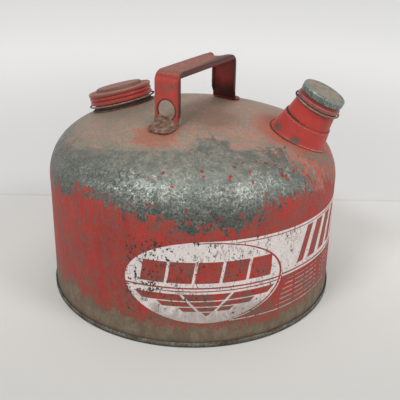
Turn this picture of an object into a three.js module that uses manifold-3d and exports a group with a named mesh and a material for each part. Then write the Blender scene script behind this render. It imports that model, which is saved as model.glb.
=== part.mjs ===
// A round pressed-steel gas can: domed tank, carrying handle, screw-capped filler and spout.
// Millimetres, +Z up, +X towards the spout, origin at the centre of the base.
import * as THREE from 'three';
import { mergeVertices } from 'three/addons/utils/BufferGeometryUtils.js';
import Module from 'manifold-3d';

const wasm = await Module();
wasm.setup();

const rad = THREE.MathUtils.degToRad;

// Tank: straight wall, rounded shoulder (knuckle) and shallow crown.
const TANK_R = 143;
const SHEET = 0.8;
const APEX_Z = 182.15;
const KNUCKLE_R = 45.3;
const CROWN_R = 312.8;
const GAP = 0.3;
const CROWN_Z = APEX_Z - CROWN_R;
const KNUCKLE_X = TANK_R - KNUCKLE_R;
const CROWN_EDGE = Math.asin(KNUCKLE_X / (CROWN_R - KNUCKLE_R));
const KNUCKLE_Z = CROWN_Z + (CROWN_R - KNUCKLE_R) * Math.cos(CROWN_EDGE);

// Bottom pan: recessed floor whose rim is folded up around the foot of the wall.
const SEAM_R = 144.5;
const SEAM_H = 5;
const FLOOR_Z = 8;

// Handle: flanged strap, bent to a bridge, with a round hole in its near leg.
const STRAP_T = 1.6;
const STRAP_W = 26.5;
const HANDLE_L = 106.7;
const HANDLE_TOP = 226.5;
const HANDLE_AZ = 74.8;
const HANDLE_AT = new THREE.Vector3(4.9, -4.8, 0);
const BEND_R = 10;
const GRIP_FLANGE = 5;
const LEG_FLANGE = 4;
const FLANGE_CORNER_R = 1;
const FOOT_L = 17;
const FOOT_CORNER_R = 10;
const LEG_HOLE_R = 9.4;
const LEG_HOLE_Z = 191.5;

// Filler and spout: where each axis leaves the dome, and which way it leans.
const FILLER = { r: 84.2, azimuth: 167.3, tilt: 15.6 };
const SPOUT = { r: 105, azimuth: 0, tilt: 25.7 };
const FILLER_NECK_R = 28.6;
const FILLER_BORE_R = 27.5;
const COLLAR_W = 1.6;
const SPOUT_NECK_R = 18.4;
const SPOUT_BORE_R = 17.3;
const CONE_TOP_R = 23.2;
const CONE_TOP_H = 17;
const CONE_FLARE = 0.2176;
const CONE_FOOT_H = -9;
const THREAD_PITCH = 6;
const THREAD_R = 0.8;
const WIRE_R = 0.85;

const SEGMENTS = { tank: 64, filler: 36, spout: 32 };

const finish = {
  zinc: { color: 0x8a948f, roughness: 0.5, metalness: 0.7 },
  red: { color: 0xa8433a, roughness: 0.55, metalness: 0.1 },
  wornRed: { color: 0x9c5a4e, roughness: 0.6, metalness: 0.2 },
  solder: { color: 0x8f8374, roughness: 0.7, metalness: 0.5 },
  wire: { color: 0x22201e, roughness: 0.6, metalness: 0.6 },
  cork: { color: 0x8b6a48, roughness: 0.9, metalness: 0 },
  tin: { color: 0xa9a9a2, roughness: 0.45, metalness: 0.8 },
};

// Closed three.js geometry to a solid, leaving out the flat triangles at a lathe's poles.
function solid(geometry) {
  const bare = geometry.clone();
  bare.deleteAttribute('normal');
  bare.deleteAttribute('uv');
  const merged = mergeVertices(bare, 1e-4);
  const index = merged.index.array;
  const kept = [];
  for (let i = 0; i < index.length; i += 3) {
    const [a, b, c] = [index[i], index[i + 1], index[i + 2]];
    if (a !== b && b !== c && c !== a) kept.push(a, b, c);
  }
  return new wasm.Manifold(new wasm.Mesh({
    numProp: 3,
    vertProperties: Float32Array.from(merged.attributes.position.array),
    triVerts: Uint32Array.from(kept),
  }));
}

function named(name, shape, look) {
  const { vertProperties, triVerts } = shape.getMesh();
  const geometry = new THREE.BufferGeometry();
  geometry.setAttribute('position', new THREE.BufferAttribute(vertProperties, 3));
  geometry.setIndex(new THREE.BufferAttribute(triVerts, 1));
  geometry.computeVertexNormals();
  const mesh = new THREE.Mesh(geometry, new THREE.MeshStandardMaterial(look));
  mesh.name = name;
  return mesh;
}

// Profile points are [radius, height], listed so that the solid lies on their left.
function latheGeometry(points, segments) {
  const profile = points.map(([r, h]) => new THREE.Vector2(r, h));
  return new THREE.LatheGeometry(profile, segments).rotateX(Math.PI / 2);
}

function lathe(points, segments) {
  return solid(latheGeometry(points, segments));
}

function closedLathe(points, segments) {
  return lathe([...points, points[0]], segments);
}

function cylinder(radius, from, to, segments) {
  return lathe([[0, from], [radius, from], [radius, to], [0, to]], segments);
}

// Tank's outer surface moved outwards by offset, from the foot of the wall to the apex.
function tankCurve(offset, footZ) {
  const points = [[TANK_R + offset, footZ], [TANK_R + offset, KNUCKLE_Z]];
  const knuckleSteps = 5;
  const crownSteps = 4;
  const sweep = Math.PI / 2 - CROWN_EDGE;
  for (let i = 1; i <= knuckleSteps; i += 1) {
    const a = sweep * i / knuckleSteps;
    const r = KNUCKLE_R + offset;
    points.push([KNUCKLE_X + r * Math.cos(a), KNUCKLE_Z + r * Math.sin(a)]);
  }
  for (let i = crownSteps - 1; i >= 0; i -= 1) {
    const a = CROWN_EDGE * i / crownSteps;
    const r = CROWN_R + offset;
    points.push([r * Math.sin(a), CROWN_Z + r * Math.cos(a)]);
  }
  return points;
}

// Everything inside the tank surface moved outwards by offset, seen from a turned frame.
function tankBlock(offset, frame = new THREE.Matrix4()) {
  const curve = tankCurve(offset, -20);
  const geometry = latheGeometry([[0, -20], ...curve], SEGMENTS.tank);
  return solid(geometry.applyMatrix4(frame.clone().invert()));
}

function domePoint(r, azimuth) {
  const a = rad(azimuth);
  const z = CROWN_Z + Math.sqrt(CROWN_R ** 2 - r ** 2);
  return new THREE.Vector3(r * Math.cos(a), r * Math.sin(a), z);
}

// Frame on the dome with its Z leaning outwards from the vertical by tilt degrees.
function neckFrame({ r, azimuth, tilt }) {
  const turn = new THREE.Matrix4().makeRotationZ(rad(azimuth));
  const lean = new THREE.Matrix4().makeRotationY(rad(tilt));
  return turn.multiply(lean).setPosition(domePoint(r, azimuth));
}

class Helix extends THREE.Curve {
  constructor(radius, from, pitch, turns) {
    super();
    Object.assign(this, { radius, from, pitch, turns });
  }

  getPoint(t, target = new THREE.Vector3()) {
    const a = t * this.turns * 2 * Math.PI;
    const h = this.from + t * this.turns * this.pitch;
    return target.set(this.radius * Math.cos(a), this.radius * Math.sin(a), h);
  }
}

function thread(radius, from, turns) {
  const section = new THREE.Shape();
  section.absarc(0, 0, THREAD_R, 0, 2 * Math.PI);
  return solid(new THREE.ExtrudeGeometry(section, {
    steps: Math.round(24 * turns),
    curveSegments: 3,
    extrudePath: new Helix(radius, from, THREAD_PITCH, turns),
  }));
}

function wireRing(name, radius, height) {
  const ring = new THREE.TorusGeometry(radius, WIRE_R, 6, SEGMENTS.spout);
  const mesh = named(name, solid(ring), finish.wire);
  mesh.position.z = height;
  return mesh;
}

function washer(name, inner, outer, from, to, segments, look) {
  const ring = [[inner, from], [outer, from], [outer, to], [inner, to]];
  return named(name, closedLathe(ring, segments), look);
}

function disc(name, radius, from, to, segments, look) {
  return named(name, cylinder(radius, from, to, segments), look);
}

// ---- Tank ----

function bodyShell() {
  const foot = SHEET + GAP;
  const outside = tankCurve(0, foot);
  const inside = tankCurve(-SHEET, foot).reverse();
  const fillerHole = cylinder(FILLER_NECK_R + GAP, -20, 20, SEGMENTS.filler);
  const spoutHole = cylinder(SPOUT_BORE_R + 4, -20, 20, SEGMENTS.spout);
  const shell = lathe([...inside, ...outside], SEGMENTS.tank)
    .subtract(fillerHole.transform(neckFrame(FILLER).elements))
    .subtract(spoutHole.transform(neckFrame(SPOUT).elements));
  return named('body_shell', shell, finish.zinc);
}

function bottomPan() {
  const wallIn = TANK_R - SHEET - GAP - SHEET;
  const wallOut = TANK_R - SHEET - GAP;
  const foldIn = SEAM_R - SHEET;
  const profile = [
    [0, FLOOR_Z], [wallIn - 2, FLOOR_Z], [wallIn, FLOOR_Z - 2], [wallIn, 0.4],
    [wallIn + 0.4, 0], [SEAM_R - 0.4, 0], [SEAM_R, 0.4], [SEAM_R, SEAM_H - 0.3],
    [SEAM_R - 0.4, SEAM_H], [foldIn, SEAM_H - 0.3], [foldIn, SHEET], [wallOut, SHEET],
    [wallOut, FLOOR_Z - 1.6], [wallOut - 2.4, FLOOR_Z + SHEET], [0, FLOOR_Z + SHEET],
  ];
  return named('bottom_pan', lathe(profile, SEGMENTS.tank), finish.zinc);
}

// ---- Handle ----

// Bridge outline in the plane of its legs (x along the grip, y up), inset by two depths.
function bridge(legDepth, gripDepth, innerR) {
  const half = HANDLE_L / 2;
  const low = KNUCKLE_Z;
  const outer = HANDLE_TOP - BEND_R;
  const x = half - legDepth;
  const y = HANDLE_TOP - gripDepth;
  const shape = new THREE.Shape();
  shape.moveTo(half, low);
  shape.lineTo(half, outer);
  shape.absarc(half - BEND_R, outer, BEND_R, 0, Math.PI / 2);
  shape.lineTo(BEND_R - half, HANDLE_TOP);
  shape.absarc(BEND_R - half, outer, BEND_R, Math.PI / 2, Math.PI);
  shape.lineTo(-half, low);
  shape.lineTo(-x, low);
  shape.lineTo(-x, y - innerR);
  shape.absarc(innerR - x, y - innerR, innerR, Math.PI, Math.PI / 2, true);
  shape.lineTo(x - innerR, y);
  shape.absarc(x - innerR, y - innerR, innerR, Math.PI / 2, 0, true);
  shape.lineTo(x, low);
  shape.closePath();
  return shape;
}

// Plate of a given outline, standing upright, from one side of the strap inwards.
function uprightPlate(shape, from, depth) {
  const plate = new THREE.ExtrudeGeometry(shape, {
    depth,
    bevelEnabled: false,
    curveSegments: 6,
  });
  return solid(plate.rotateX(Math.PI / 2).translate(0, from + depth, 0));
}

// Frame where a leg meets the dome: X outwards along the dome, Z square to it.
function footFrame(side) {
  const along = new THREE.Vector3(Math.cos(rad(HANDLE_AZ)), Math.sin(rad(HANDLE_AZ)), 0);
  const outwards = along.multiplyScalar(side);
  const at = HANDLE_AT.clone().addScaledVector(outwards, HANDLE_L / 2);
  at.z = CROWN_Z + Math.sqrt(CROWN_R ** 2 - at.x ** 2 - at.y ** 2);
  const normal = at.clone().setZ(at.z - CROWN_Z).normalize();
  const slope = outwards.clone().addScaledVector(normal, -outwards.dot(normal)).normalize();
  const across = normal.clone().cross(slope);
  return new THREE.Matrix4().makeBasis(slope, across, normal).setPosition(at);
}

function footPlate(side) {
  const half = STRAP_W / 2;
  const tip = FOOT_L - FOOT_CORNER_R;
  const shape = new THREE.Shape();
  shape.moveTo(-STRAP_T, -half);
  shape.lineTo(tip, -half);
  shape.absarc(tip, FOOT_CORNER_R - half, FOOT_CORNER_R, -Math.PI / 2, 0);
  shape.absarc(tip, half - FOOT_CORNER_R, FOOT_CORNER_R, 0, Math.PI / 2);
  shape.lineTo(-STRAP_T, half);
  shape.closePath();
  const plate = new THREE.ExtrudeGeometry(shape, {
    depth: 4,
    bevelEnabled: false,
    curveSegments: 6,
  });
  const top = STRAP_T + GAP;
  return solid(plate.translate(0, 0, top - 4).applyMatrix4(footFrame(side)));
}

function handleStrap() {
  const half = STRAP_W / 2;
  const web = bridge(STRAP_T, STRAP_T, BEND_R - STRAP_T);
  const flange = bridge(LEG_FLANGE, GRIP_FLANGE, FLANGE_CORNER_R);
  const hole = new THREE.CylinderGeometry(LEG_HOLE_R, LEG_HOLE_R, 10, 28);
  hole.rotateZ(Math.PI / 2).translate(-HANDLE_L / 2, 0, LEG_HOLE_Z);
  const place = new THREE.Matrix4().makeRotationZ(rad(HANDLE_AZ)).setPosition(HANDLE_AT);
  const strap = uprightPlate(web, -half, STRAP_W)
    .add(uprightPlate(flange, -half, STRAP_T))
    .add(uprightPlate(flange, half - STRAP_T, STRAP_T))
    .subtract(solid(hole))
    .transform(place.elements)
    .add(footPlate(-1))
    .add(footPlate(1))
    .subtract(tankBlock(GAP));
  return named('handle_strap', strap, finish.red);
}

// Run of solder in the corner between a foot and its leg.
function footSolder(name, side) {
  const width = STRAP_W - 3;
  const section = [[0, 2.2], [5.6, 2.2], [5.2, 3], [3, 4.6], [0.3, 6.2], [-0.7, 6.2]];
  const shape = new THREE.Shape(section.map(([x, y]) => new THREE.Vector2(x, y)));
  const bead = new THREE.ExtrudeGeometry(shape, { depth: width, bevelEnabled: false });
  bead.rotateX(Math.PI / 2).translate(0, width / 2, 0);
  return named(name, solid(bead.applyMatrix4(footFrame(side))), finish.solder);
}

// Thin ring of solder on the dome around a collar whose outside is a cone.
function solderRing(name, frame, foot, rise, segments) {
  const [low, high] = [CONE_FOOT_H, 4];
  const ring = [
    [foot + GAP, low], [foot + GAP + 1.6, low],
    [foot + GAP + 1.6 - rise, high], [foot + GAP - rise, high],
  ];
  const bead = closedLathe(ring, segments)
    .intersect(tankBlock(GAP + 1.3, frame))
    .subtract(tankBlock(GAP, frame));
  return named(name, bead, finish.solder);
}

// ---- Filler ----

function fillerNeck(frame) {
  const flange = FILLER_NECK_R + COLLAR_W;
  const profile = [
    [FILLER_BORE_R, -5], [FILLER_NECK_R, -5], [FILLER_NECK_R, -2.5], [flange, -2.5],
    [flange, 0.8], [flange - 0.4, 1.2], [FILLER_NECK_R, 1.2], [FILLER_NECK_R, 12.9],
    [FILLER_NECK_R - 0.3, 13.6], [FILLER_NECK_R - 0.8, 13.8], [FILLER_BORE_R, 13.4],
  ];
  const collar = closedLathe(profile, SEGMENTS.filler);
  const outside = closedLathe([
    [FILLER_NECK_R, -20], [flange + 5, -20], [flange + 5, 20], [FILLER_NECK_R, 20],
  ], SEGMENTS.filler);
  const neck = collar
    .subtract(outside.intersect(tankBlock(GAP, frame)))
    .add(thread(FILLER_NECK_R, 4.2, 1.2));
  return named('filler_neck', neck, finish.zinc);
}

function fillerCapShell() {
  const profile = [
    [0, 19.3], [22.6, 19.3], [23.4, 16.4], [29.6, 16.4], [30.2, 15.8], [30.2, 5.3],
    [32.1, 5.3], [32.4, 5.9], [32.2, 8.1], [31.5, 8.8], [31.5, 9.5], [32.1, 10.1],
    [32.1, 12.1], [31.5, 12.7], [31.5, 13.4], [32.2, 14], [32.5, 15.8], [32.1, 16.8],
    [31.3, 17.1], [24.2, 17.1], [23.3, 19.6], [22.6, 20], [0, 20],
  ];
  return named('filler_cap_shell', lathe(profile, SEGMENTS.filler), finish.red);
}

function filler() {
  const frame = neckFrame(FILLER);
  const group = new THREE.Group();
  group.applyMatrix4(frame);
  group.add(
    fillerNeck(frame),
    solderRing('filler_neck_solder', frame, FILLER_NECK_R + COLLAR_W, 0, SEGMENTS.filler),
    wireRing('filler_wire_ring', 33.4, 4),
    washer('filler_cap_gasket', 24.5, 29.4, 14.1, 15.3, SEGMENTS.filler, finish.cork),
    disc('filler_cap_liner', 29.4, 15.6, 16.1, SEGMENTS.filler, finish.tin),
    fillerCapShell(),
  );
  return group;
}

// ---- Spout ----

function coneRadius(height) {
  return CONE_TOP_R + (CONE_TOP_H - height) * CONE_FLARE;
}

function spoutBase(frame) {
  const profile = [
    [coneRadius(CONE_FOOT_H), CONE_FOOT_H], [CONE_TOP_R, CONE_TOP_H],
    [CONE_TOP_R - SHEET, CONE_TOP_H],
    [coneRadius(CONE_FOOT_H) - SHEET, CONE_FOOT_H],
  ];
  const cone = closedLathe(profile, SEGMENTS.spout).subtract(tankBlock(GAP, frame));
  return named('spout_base', cone, finish.red);
}

function spoutThroat() {
  const lap = CONE_TOP_H - 7;
  const inset = SHEET + GAP;
  const wall = SPOUT_NECK_R - SPOUT_BORE_R;
  const profile = [
    [coneRadius(lap) - inset - wall, lap], [coneRadius(lap) - inset, lap],
    [CONE_TOP_R - inset, CONE_TOP_H], [CONE_TOP_R - inset - 0.2, CONE_TOP_H + 1.2],
    [20.2, 31.2], [20.9, 31.6], [20.9, 32.1], [SPOUT_NECK_R, 32.4],
    [SPOUT_NECK_R, 43.6], [SPOUT_NECK_R - 0.3, 44.3], [SPOUT_NECK_R - 0.8, 44.5],
    [SPOUT_BORE_R, 44.1], [SPOUT_BORE_R, 32], [19, 30.4],
    [CONE_TOP_R - inset - wall - 0.2, CONE_TOP_H + 1], [CONE_TOP_R - inset - wall, CONE_TOP_H],
  ];
  const throat = closedLathe(profile, SEGMENTS.spout).add(thread(SPOUT_NECK_R, 34.6, 1.2));
  return named('spout_throat', throat, finish.red);
}

function spoutCapShell() {
  const profile = [
    [0, 47.1], [18.9, 47.1], [19.5, 46.5], [19.5, 34.8], [21.1, 34.8], [21.4, 35.4],
    [21.2, 37.9], [20.6, 38.5], [20.2, 38.9], [20.2, 41.2], [20.9, 41.8], [21.1, 46.4],
    [20.6, 47.8], [19.6, 48.3], [18.2, 48.3], [17.6, 47.7], [0, 47.7],
  ];
  return named('spout_cap_shell', lathe(profile, SEGMENTS.spout), finish.wornRed);
}

function spout() {
  const frame = neckFrame(SPOUT);
  const group = new THREE.Group();
  const foot = coneRadius(CONE_FOOT_H);
  const rise = foot - coneRadius(4);
  group.applyMatrix4(frame);
  group.add(
    spoutBase(frame),
    solderRing('spout_base_solder', frame, foot, rise, SEGMENTS.spout),
    spoutThroat(),
    wireRing('spout_wire_ring', 22.1, 33.6),
    washer('spout_cap_gasket', 14.8, 19, 44.8, 46, SEGMENTS.spout, finish.cork),
    disc('spout_cap_liner', 19, 46.3, 46.8, SEGMENTS.spout, finish.tin),
    spoutCapShell(),
  );
  return group;
}

const can = new THREE.Group();
can.add(
  bodyShell(),
  bottomPan(),
  handleStrap(),
  footSolder('front_foot_solder', -1),
  footSolder('rear_foot_solder', 1),
  filler(),
  spout(),
);

export default can;
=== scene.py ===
"""A worn round gas can: refined sheet-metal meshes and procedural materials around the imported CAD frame."""

from math import acos, asin, ceil, cos, dist, exp, hypot, pi, radians, sin, sqrt, tan

import bmesh
import bpy
import numpy as np
from mathutils import Matrix, Vector, noise


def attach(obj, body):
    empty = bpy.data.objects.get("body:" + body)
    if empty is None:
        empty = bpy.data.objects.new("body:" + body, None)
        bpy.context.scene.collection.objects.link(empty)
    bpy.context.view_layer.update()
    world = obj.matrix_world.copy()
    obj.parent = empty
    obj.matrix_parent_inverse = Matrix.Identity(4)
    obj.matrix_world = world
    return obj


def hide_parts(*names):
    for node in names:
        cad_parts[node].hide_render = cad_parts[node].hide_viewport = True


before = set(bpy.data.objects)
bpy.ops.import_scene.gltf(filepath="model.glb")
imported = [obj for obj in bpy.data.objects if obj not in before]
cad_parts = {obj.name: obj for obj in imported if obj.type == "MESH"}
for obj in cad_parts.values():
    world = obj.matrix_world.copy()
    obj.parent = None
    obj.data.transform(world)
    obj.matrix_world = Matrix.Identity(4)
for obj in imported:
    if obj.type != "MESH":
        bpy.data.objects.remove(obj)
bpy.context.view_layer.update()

scene = bpy.context.scene

# ---------------------------------------------------------------- dimensions (millimetres)
MM = 0.001
TANK_R, SHEET, APEX_Z, KNUCKLE_R, CROWN_R = 143.0, 0.8, 182.15, 45.3, 312.8
CROWN_Z = APEX_Z - CROWN_R
KNUCKLE_X = TANK_R - KNUCKLE_R
CROWN_EDGE = asin(KNUCKLE_X / (CROWN_R - KNUCKLE_R))
KNUCKLE_Z = CROWN_Z + (CROWN_R - KNUCKLE_R) * cos(CROWN_EDGE)
SEAM_R, SEAM_H, FLOOR_Z = 144.5, 5.0, 8.0
GAP = 0.3

STRAP_T, HALF_W = 1.6, 26.5 / 2
HALF_L, HANDLE_TOP, HANDLE_AZ = 106.7 / 2, 226.5, 74.8
HANDLE_AT = (4.9, -4.8)
BEND_R, GRIP_FLANGE, LEG_FLANGE = 10.0, 5.0, 4.0
FOOT_L, FOOT_CORNER_R, FOOT_BEND_R = 17.0, 10.0, 2.5
LEG_HOLE_R, LEG_HOLE_Z = 9.4, 191.5

FILLER_NECK_R, FILLER_BORE_R = 28.6, 27.5
SPOUT_NECK_R, SPOUT_BORE_R = 18.4, 17.3
CONE_TOP_R, CONE_TOP_H, CONE_FLARE = 23.2, 17.0, 0.2176
COLLAR_W, THREAD_PITCH, THREAD_R, WIRE_R = 1.6, 6.0, 0.8, 0.85

# The photograph's camera: where it aims, how far off it stands, and how it leans.
VIEW_TURN = 16.1
AIM = (7.40, 2.14, 80.1)
CAMERA_DISTANCE, CAMERA_ELEVATION, CAMERA_ROLL, CAMERA_LENS = 707.0, 24.18, 0.98, 61.2


def neck_frame(r, azimuth, tilt):
    a = radians(azimuth)
    z = CROWN_Z + sqrt(CROWN_R**2 - r**2)
    at = Matrix.Translation((r * cos(a), r * sin(a), z))
    return at @ Matrix.Rotation(a, 4, "Z") @ Matrix.Rotation(radians(tilt), 4, "Y")


FILLER = neck_frame(84.2, 167.3, 15.6)
SPOUT = neck_frame(105, 0, 25.7)


# ---------------------------------------------------------------- mesh helpers
def make(name, verts, faces, sharp=35):
    """A closed mesh object from millimetre points, smooth except where it turns sharply."""
    mesh = bpy.data.meshes.new(name)
    mesh.from_pydata([tuple(v) for v in np.asarray(verts, float) * MM], [], faces)
    obj = bpy.data.objects.new(name, mesh)
    scene.collection.objects.link(obj)
    settle(obj, sharp)
    return obj


def settle(obj, sharp=35):
    """Merges doubles, turns the faces outwards and marks the sharp edges."""
    bm = bmesh.new()
    bm.from_mesh(obj.data)
    bmesh.ops.remove_doubles(bm, verts=bm.verts, dist=1e-7)
    bmesh.ops.dissolve_degenerate(bm, edges=bm.edges, dist=1e-7)
    bmesh.ops.recalc_face_normals(bm, faces=bm.faces)
    if bm.calc_volume(signed=True) < 0:
        bmesh.ops.reverse_faces(bm, faces=bm.faces)
    limit = radians(sharp)
    for f in bm.faces:
        f.smooth = True
    for e in bm.edges:
        e.smooth = not (e.is_manifold and e.calc_face_angle(0) > limit)
    bm.to_mesh(obj.data)
    bm.free()
    obj.data.update()


def fillet(points, radius, steps=4):
    """Rounds each inner corner of an open polyline, with less radius where its sides are short."""
    out = [points[0]]
    for a, b, c in zip(points, points[1:], points[2:]):
        a, b, c = (np.array(p, float) for p in (a, b, c))
        u, v = a - b, c - b
        lu, lv = np.linalg.norm(u), np.linalg.norm(v)
        cosine = np.dot(u, v) / (lu * lv)
        if cosine < -0.995:
            out.append(tuple(b))
            continue
        half = acos(max(-1, min(1, cosine))) / 2
        reach = min(radius / tan(half), 0.42 * lu, 0.42 * lv)
        p, q = b + u / lu * reach, b + v / lv * reach
        for i in range(steps + 1):
            t = i / steps
            out.append(tuple((1 - t) ** 2 * p + 2 * t * (1 - t) * b + t**2 * q))
    out.append(points[-1])
    return out


def resample(points, step):
    """Splits the long stretches of a polyline."""
    out = [points[0]]
    for a, b in zip(points, points[1:]):
        n = max(1, ceil(dist(a, b) / step))
        for i in range(1, n + 1):
            out.append(tuple(a[k] + (b[k] - a[k]) * i / n for k in (0, 1)))
    return out


def skin(name, grid, closed=True, sharp=35):
    """A mesh through a grid of points: each row closes on itself, and so do the columns if closed."""
    rows, cols = len(grid), len(grid[0])
    faces = []
    for i in range(rows if closed else rows - 1):
        for k in range(cols):
            j, n = (i + 1) % rows, (k + 1) % cols
            faces.append([i * cols + k, i * cols + n, j * cols + n, j * cols + k])
    return make(name, [tuple(p) for row in grid for p in row], faces, sharp)


def slab(name, top, under, sharp):
    """A closed sheet between two grids of points of one size."""
    rows, cols = len(top), len(top[0])
    count = rows * cols
    faces = []
    for i in range(rows - 1):
        for k in range(cols - 1):
            a = i * cols + k
            quad = [a, a + 1, a + cols + 1, a + cols]
            faces += [quad, [count + q for q in reversed(quad)]]
    rim = list(range(cols)) + [i * cols + cols - 1 for i in range(1, rows)]
    rim += [(rows - 1) * cols + k for k in range(cols - 2, -1, -1)]
    rim += [i * cols for i in range(rows - 2, 0, -1)]
    for a, b in zip(rim, rim[1:] + rim[:1]):
        faces.append([b, a, count + a, count + b])
    return make(name, [tuple(p) for grid in (top, under) for row in grid for p in row], faces, sharp)


def polar(place, angle, r, h):
    return place @ Vector((r * cos(angle), r * sin(angle), h))


def circle(count):
    return [2 * pi * i / count for i in range(count)]


def revolve(name, profile, segments, place=None, shift=None, closed=False):
    """Turns a profile of (radius, height) round the Z of place. shift(angle, r, h) may move each point."""
    place = place or Matrix.Identity(4)
    grid = []
    for r, h in profile:
        grid.append([polar(place, a, *(shift(a, r, h) if shift else (r, h))) for a in circle(segments)])
    return skin(name, grid, closed)


def tube(name, place, around, sides, section, sharp=35):
    """A ring round the Z of place: section(angle) gives its centre (r, h) and its half width and height."""
    grid = []
    for a in circle(around):
        r, h, half_width, half_height = section(a)
        grid.append([polar(place, a, r + half_width * cos(c), h + half_height * sin(c))
                     for c in circle(sides)])
    return skin(name, grid, sharp=sharp)


def cylinder(name, radius, low, high, place, segments=96):
    return revolve(name, [(0, low), (radius, low), (radius, high), (0, high)], segments, place)


def cut(obj, *tools):
    """Cuts the tools out of obj and throws them away."""
    for tool in tools:
        mod = obj.modifiers.new("cut", "BOOLEAN")
        mod.operation, mod.solver, mod.object = "DIFFERENCE", "EXACT", tool
    mesh = bpy.data.meshes.new_from_object(obj.evaluated_get(bpy.context.evaluated_depsgraph_get()))
    obj.modifiers.clear()
    obj.data = mesh
    for tool in tools:
        bpy.data.objects.remove(tool)
    settle(obj)


def wobble(x, y, z, size, seed=0.0):
    """Smooth noise between about -1 and 1, with features about size millimetres across."""
    return noise.noise(Vector((x / size + seed, y / size - seed, z / size + 2 * seed)))


def ease(x, low, high):
    """Smooth step from zero at low to one at high."""
    t = max(0.0, min(1.0, (x - low) / (high - low)))
    return t * t * (3 - 2 * t)


def tank_curve(offset, foot, wall_step=4.0, arc_steps=26):
    points = resample([(TANK_R + offset, foot), (TANK_R + offset, KNUCKLE_Z)], wall_step)
    sweep = pi / 2 - CROWN_EDGE
    for i in range(1, arc_steps + 1):
        a, r = sweep * i / arc_steps, KNUCKLE_R + offset
        points.append((KNUCKLE_X + r * cos(a), KNUCKLE_Z + r * sin(a)))
    for i in range(arc_steps - 1, -1, -1):
        a, r = CROWN_EDGE * i / arc_steps, CROWN_R + offset
        points.append((r * sin(a), CROWN_Z + r * cos(a)))
    return points


def dome_z(x, y):
    """Height of the tank's top over a point in plan."""
    r = hypot(x, y)
    if r <= CROWN_R * sin(CROWN_EDGE):
        return CROWN_Z + sqrt(CROWN_R**2 - r * r)
    return KNUCKLE_Z + sqrt(max(0.0, KNUCKLE_R**2 - (r - KNUCKLE_X) ** 2))


# ---------------------------------------------------------------- tank
# Shallow dents: azimuth from +X in degrees, height, width and depth.
DENTS = [(-118, 60, 26, 0.55), (-30, 42, 22, 0.5), (15, 84, 30, 0.6), (70, 50, 24, 0.7),
         (128, 92, 28, 0.6), (176, 40, 26, 0.6), (-160, 96, 24, 0.5), (100, 22, 20, 0.5)]


def dent_depth(angle, z):
    total = 0.0
    for azimuth, height, width, depth in DENTS:
        turn = (angle - radians(azimuth) + pi) % (2 * pi) - pi
        d2 = ((turn * TANK_R) ** 2 + (z - height) ** 2) / width**2
        total += depth * exp(-d2)
    return total


def tank_shift(angle, r, z):
    """Hand-worn sheet: the wall and shoulder wander inwards by well under a millimetre."""
    x, y = r * cos(angle), r * sin(angle)
    quiet = ease(z, 6, 24) * (1 - ease(z, 140, 158))
    soft = 0.22 * (1 + wobble(x, y, z, 55)) + 0.12 * (1 + wobble(x, y, z, 24, 7))
    move = quiet * (soft + dent_depth(angle, z))
    return r - move, z


def tank_shell():
    foot = SHEET + GAP
    profile = list(reversed(tank_curve(-SHEET, foot))) + tank_curve(0, foot)
    shell = revolve("tank_shell", profile, 256, shift=tank_shift)
    cut(shell,
        cylinder("hole_a", FILLER_NECK_R + GAP, -20, 20, FILLER),
        cylinder("hole_b", SPOUT_BORE_R + 4, -20, 20, SPOUT))
    return shell


def tank_floor():
    wall_in, wall_out = TANK_R - 2 * SHEET - GAP, TANK_R - SHEET - GAP
    fold_in = SEAM_R - SHEET
    profile = [
        (0, FLOOR_Z), (wall_in - 2, FLOOR_Z), (wall_in, FLOOR_Z - 2), (wall_in, 0),
        (SEAM_R, 0), (SEAM_R, SEAM_H), (fold_in, SEAM_H), (fold_in, SHEET), (wall_out, SHEET),
        (wall_out, FLOOR_Z - 1.6), (wall_out - 2.4, FLOOR_Z + SHEET), (0, FLOOR_Z + SHEET),
    ]

    def crimp(angle, r, z):
        """The folded rim is a little uneven along its top."""
        edge = ease(r, SEAM_R - 1.2, SEAM_R - 0.6) * ease(z, 2.5, 4.5)
        ripple = 0.5 + 0.5 * wobble(90 * cos(angle), 90 * sin(angle), 0, 9, 3)
        return r - 0.1 * edge * ripple, z - 0.35 * edge * ripple

    return revolve("tank_floor", resample(fillet(profile, 0.45), 12), 256, shift=crimp)


# ---------------------------------------------------------------- handle
ALONG = Vector((cos(radians(HANDLE_AZ)), sin(radians(HANDLE_AZ)), 0))
LEFT = Vector((-ALONG.y, ALONG.x, 0))
TOP_OF_FOOT = STRAP_T + GAP
KINK_AT, KINK_DEPTH = 7.0, 5.0


def handle_xy(s, b):
    """Plan position of a point s along the handle and b to its left."""
    p = Vector((*HANDLE_AT, 0)) + ALONG * s + LEFT * b
    return p.x, p.y


def foot_z(s, b):
    return dome_z(*handle_xy(s, b)) + TOP_OF_FOOT


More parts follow.
